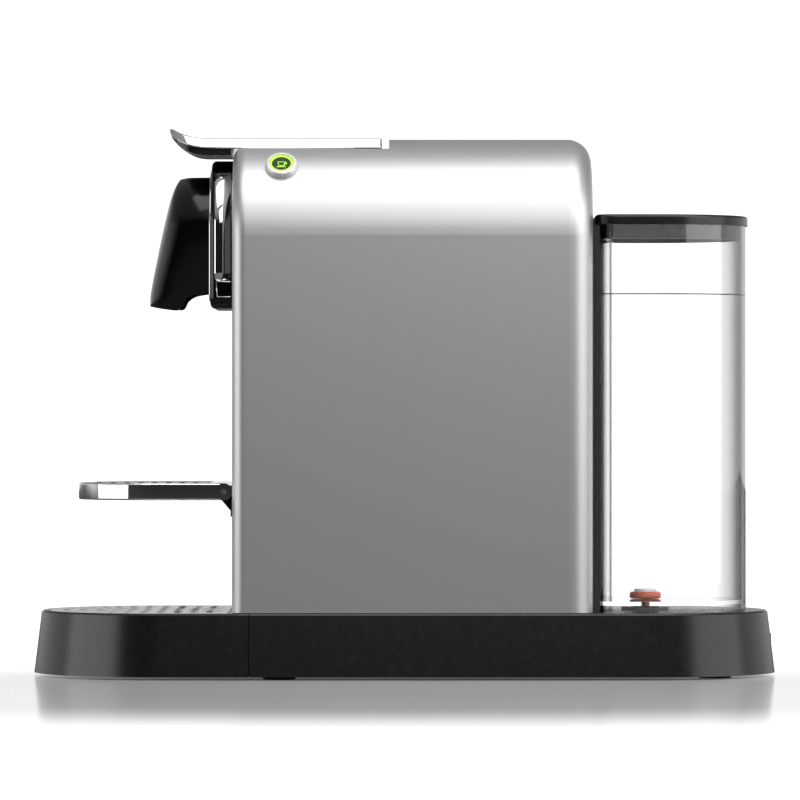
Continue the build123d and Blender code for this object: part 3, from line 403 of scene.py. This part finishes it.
# ---------------------------------------------------------------- brew head band
def head_band(materials):
    """The chrome arch round the brew head, its front edge rolled over, and the thin frames under it."""
    low, high = (corner * 1000 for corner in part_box("head_band"))
    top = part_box("head_frame")[1].z * 1000
    corner, sill, depth, roll = 34.0, 197.0, 1.2, 2.8
    cap_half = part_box("head_cap")[1].x * 1000
    roll_steps, straight_steps, arch_steps = 8, 6, 30
    section = [(low.y, depth)]
    for step in range(1, roll_steps + 1):
        turn = math.pi / 2 * step / roll_steps
        section.append((low.y + roll * (1 - math.cos(turn)), depth * (1 - math.sin(turn))))
    section += [(high.y, 0.0), (high.y, depth)]
    for side in (-1, 1):
        last = math.acos((cap_half - high.x + corner) / corner)
        spine = [
            (high.x, sill + (top - corner - sill) * step / straight_steps, 0.0)
            for step in range(straight_steps)
        ]
        spine += [
            (
                high.x - corner + corner * math.cos(last * step / arch_steps),
                top - corner + corner * math.sin(last * step / arch_steps),
                last * step / arch_steps,
            )
            for step in range(arch_steps + 1)
        ]
        rings = []
        for x, z, turn in spine:
            rings.append([
                (side * (x - inward * math.cos(turn)), y, z - inward * math.sin(turn))
                for y, inward in section
            ])
        name = "head_band_right" if side > 0 else "head_band_left"
        arch = ring_mesh(name, rings if side > 0 else rings[::-1], materials["chrome"], closed=True)
        place(arch, "machine", "chrome", "head_band")
        # Proud of the arch's face by a little, so that the bead stays visible
        x = side * (high.x + 0.05)
        frame_line = [
            (x, high.y, sill - 0.4), (x, low.y + 1.4, sill - 0.4),
            (x, low.y + 1.9, low.z + 0.5), (x, high.y, low.z + 0.5),
        ]
        bead = tube_curve(name + "_frame", frame_line, 0.32, materials["chrome"])
        place(bead, "machine", "chrome", "head_band")


# ---------------------------------------------------------------- small trim
def d_outline(inset):
    """The D plan of the tank as points, drawn in by inset, in millimetres."""
    low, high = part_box("water_tank")
    half, front = high.x * 1000 - inset, low.y * 1000 + inset
    centre = high.y * 1000 - high.x * 1000
    corner = 9.0 - inset / 2
    # Each arc: its centre, radius, start and sweep in half turns, and steps
    arcs = (
        (corner - half, front + corner, corner, 1.0, 0.5, 12),
        (half - corner, front + corner, corner, 1.5, 0.5, 12),
        (0.0, centre, half, 0.0, 1.0, 48),
    )
    outline = []
    for centre_x, centre_y, radius, start, sweep, steps in arcs:
        for step in range(steps + 1):
            angle = math.pi * (start + sweep * step / steps)
            outline.append((centre_x + radius * math.cos(angle), centre_y + radius * math.sin(angle)))
    return outline


def tube_curve(name, points, radius, material, closed=False):
    """A thin round bead along points in millimetres."""
    data = bpy.data.curves.new(name, "CURVE")
    data.dimensions = "3D"
    data.bevel_depth = mm(radius)
    data.bevel_resolution = 3
    spline = data.splines.new("POLY")
    spline.points.add(len(points) - 1)
    for spot, point in zip(spline.points, points):
        spot.co = (*mm(*point), 1)
    spline.use_cyclic_u = closed
    data.materials.append(material)
    made = bpy.data.objects.new(name, data)
    bpy.context.collection.objects.link(made)
    return made


def fill_line(materials):
    """The moulded line near the top of the tank that marks its filling height."""
    height = 190.6
    half_ring = [(x, y, height) for x, y in d_outline(1.75) if x > 1]
    line = tube_curve("fill_line", half_ring, 0.3, materials["rubber_black"])
    return place(line, "tank", "rubber_black")


# The axis of the body's rounded shoulder in X and Z, its radius, and the buttons' tilt and place on it
SHOULDER = (11.0, 219.4)
SHOULDER_RADIUS = 49.0
BUTTON_TILT = math.radians(44)
BUTTON_PLACE = -61.0
ICON_RISE = 2.22


def button_icon(materials, body, side, tall):
    """A plain cup outline on the button's dark face, stretched by tall for the larger coffee."""
    normal = Vector((side * math.cos(BUTTON_TILT), 0, math.sin(BUTTON_TILT)))
    upward = Vector((-side * math.sin(BUTTON_TILT), 0, math.cos(BUTTON_TILT)))
    along = Vector((0, 1, 0))
    shoulder = Vector((side * SHOULDER[0], BUTTON_PLACE, SHOULDER[1]))
    centre = shoulder + normal * (SHOULDER_RADIUS + ICON_RISE)
    half_cup = ((1.7, 1.2), (1.35, -1.2), (0.9, -1.5))
    cup = [(-u, v * tall) for u, v in half_cup] + [(u, v * tall) for u, v in reversed(half_cup)]
    handle = [(1.6, 0.8), (2.4, 0.8), (2.7, 0.2), (2.3, -0.5), (1.45, -0.5)]
    saucer = [(-2.3, -2.3 * tall), (2.3, -2.3 * tall)]
    strokes = (("cup", cup, True), ("handle", handle, False), ("saucer", saucer, False))
    for name, stroke, closed in strokes:
        points = [centre + along * u + upward * v for u, v in stroke]
        bead = tube_curve(body + "_" + name, points, 0.22, materials["button_light"], closed)
        place(bead, body, "button_light")


def soften(node, width):
    """Rounds the sharp edges of a CAD node by a bevel of this width in millimetres."""
    bevel = frame["nodes"][node].modifiers.new("soft_edges", "BEVEL")
    bevel.width = mm(width)
    bevel.segments = 3
    bevel.limit_method = "ANGLE"


# ---------------------------------------------------------------- studio
# Bright enough for the picture to show white, also through the tank's clear plastic
WHITE = 1.25


def floor_material():
    """White floor, polished around the machine and melting into the white background further out."""
    paint = Paint("studio_floor", (0.74, 0.74, 0.75), 0.13)
    tree, link = paint.tree, paint.link
    # Distance in metres from a spot on the camera's side of the machine, stretched along the machine
    flat = paint.node("ShaderNodeMapping")
    flat.inputs["Location"].default_value = (-0.2, 0.0, 0.0)
    flat.inputs["Scale"].default_value = (1.0, 0.4, 0.0)
    link(paint.place, flat.inputs["Vector"])
    reach = paint.node("ShaderNodeVectorMath", operation="LENGTH")
    link(flat.outputs["Vector"], reach.inputs[0])

    def fade(start, end, low, high):
        """From low to high between two distances."""
        ramp = paint.node("ShaderNodeMapRange", interpolation_type="SMOOTHSTEP")
        for socket, value in (("From Min", start), ("From Max", end), ("To Min", low), ("To Max", high)):
            ramp.inputs[socket].default_value = value
        link(reach.outputs["Value"], ramp.inputs["Value"])
        return ramp.outputs["Result"]

    link(fade(0.0, 0.40, 1.0, 0.0), paint.shader.inputs["Specular IOR Level"])
    glow = paint.node("ShaderNodeEmission", Strength=WHITE)
    open_floor = paint.node("ShaderNodeMixShader")
    link(fade(0.12, 0.38, 0.0, 1.0), open_floor.inputs["Fac"])
    link(paint.shader.outputs["BSDF"], open_floor.inputs[1])
    link(glow.outputs["Emission"], open_floor.inputs[2])
    # What the machine mirrors of the floor is a dim grey
    dim = paint.node("ShaderNodeBsdfDiffuse", Color=(0.17, 0.17, 0.17, 1.0))
    seen = paint.node("ShaderNodeMixShader")
    link(seen_or_through(tree), seen.inputs["Fac"])
    link(dim.outputs["BSDF"], seen.inputs[1])
    link(open_floor.outputs["Shader"], seen.inputs[2])
    link(seen.outputs["Shader"], tree.nodes["Material Output"].inputs["Surface"])
    return paint.material


def seen_or_through(tree):
    """1 for what is seen directly or through clear plastic, 0 for mirrored and scattered light."""
    path = tree.nodes.new("ShaderNodeLightPath")
    either = tree.nodes.new("ShaderNodeMath")
    either.operation = "MAXIMUM"
    tree.links.new(path.outputs["Is Camera Ray"], either.inputs[0])
    tree.links.new(path.outputs["Is Transmission Ray"], either.inputs[1])
    return either.outputs["Value"]


def softbox(name, position, target, width, height, radiance):
    """A rectangular light of an even radiance."""
    data = bpy.data.lights.new(name, "AREA")
    data.shape = "RECTANGLE"
    data.size, data.size_y = width, height
    data.energy = radiance * math.pi * width * height
    lamp = bpy.data.objects.new(name, data)
    lamp.location = position
    direction = Vector(target) - Vector(position)
    lamp.rotation_euler = direction.to_track_quat("-Z", "Y").to_euler()
    bpy.context.collection.objects.link(lamp)
    return lamp


def keep_off(lamp, *pieces):
    """The lamp doesn't light these pieces, as if a flag stood between them."""
    receivers = bpy.data.collections.new(lamp.name + "_flag")
    for piece in pieces:
        receivers.objects.link(piece)
    for entry in receivers.collection_objects:
        entry.light_linking.link_state = "EXCLUDE"
    lamp.light_linking.receiver_collection = receivers


def surroundings():
    """White to the eye. For reflections, dark at eye level on the camera's side, bright above it,
    a white wall low down behind the machine and a dim room elsewhere."""
    world = bpy.data.worlds.new("studio")
    bpy.context.scene.world = world
    world.use_nodes = True
    tree = world.node_tree
    tree.nodes.clear()
    new, link = tree.nodes.new, tree.links.new
    place_at = new("ShaderNodeTexCoord")
    split = new("ShaderNodeSeparateXYZ")
    link(place_at.outputs["Generated"], split.inputs["Vector"])

    def ramp(value, stops):
        """Greys that change along a value from 0 to 1."""
        made = new("ShaderNodeValToRGB")
        elements = made.color_ramp.elements
        while len(elements) < len(stops):
            elements.new(0.5)
        for element, (spot, grey) in zip(elements, stops):
            element.position = spot
            element.color = (grey, grey, grey, 1)
        link(value, made.inputs["Fac"])
        return made.outputs["Color"]

    def half(value):
        """-1 to 1 made 0 to 1."""
        moved = new("ShaderNodeMapRange")
        moved.inputs["From Min"].default_value = -1.0
        link(value, moved.inputs["Value"])
        return moved.outputs["Result"]

    # 0 is straight down, 0.5 the horizon and 1 straight up
    rise = half(split.outputs["Z"])
    near_side = ramp(rise, ((0.0, 0.01), (0.60, 0.01), (0.70, 0.25), (1.0, 0.35)))
    far_side = ramp(rise, ((0.0, 0.2), (0.49, 0.9), (0.56, 0.9), (0.62, 0.2), (1.0, 0.35)))
    blend = new("ShaderNodeMix")
    blend.data_type = "RGBA"
    link(ramp(half(split.outputs["X"]), ((0.35, 0.0), (0.6, 1.0))), blend.inputs["Factor"])
    link(far_side, blend.inputs["A"])
    link(near_side, blend.inputs["B"])
    mirrored = new("ShaderNodeBackground")
    link(blend.outputs["Result"], mirrored.inputs["Color"])
    plain_white = new("ShaderNodeBackground")
    plain_white.inputs["Color"].default_value = (1, 1, 1, 1)
    plain_white.inputs["Strength"].default_value = WHITE
    mix = new("ShaderNodeMixShader")
    link(seen_or_through(tree), mix.inputs["Fac"])
    link(mirrored.outputs["Background"], mix.inputs[1])
    link(plain_white.outputs["Background"], mix.inputs[2])
    link(mix.outputs["Shader"], new("ShaderNodeOutputWorld").inputs["Surface"])


def studio(hood):
    """A white floor, two softboxes above on the camera's side, and a card at each end."""
    reach = 6
    corners = [(-reach, -reach, 0), (reach, -reach, 0), (reach, reach, 0), (-reach, reach, 0)]
    floor = mesh_object("studio_floor", corners, [(0, 1, 2, 3)], floor_material(), False)
    middle = (0, 0, 0.14)
    softbox("overhead", (0.40, 0.12, 1.05), middle, 1.4, 0.8, 2.3)
    softbox("upper_card", (0.74, 0.50, 0.62), middle, 1.5, 0.46, 1.85)
    front_card = softbox("front_card", (0.45, -1.15, 0.24), middle, 1.1, 0.48, 2.1)
    softbox("rear_card", (0.45, 1.15, 0.40), middle, 1.1, 0.8, 1.7)
    keep_off(front_card, hood)
    surroundings()


materials = make_materials()
paint_nodes(materials)
hood = outlet_hood(materials)
lever_plate(materials)
head_band(materials)
fill_line(materials)
button_icon(materials, "espresso_button", 1, 1.0)
button_icon(materials, "lungo_button", -1, 1.35)
soften("head_cap", 0.5)
studio(hood)
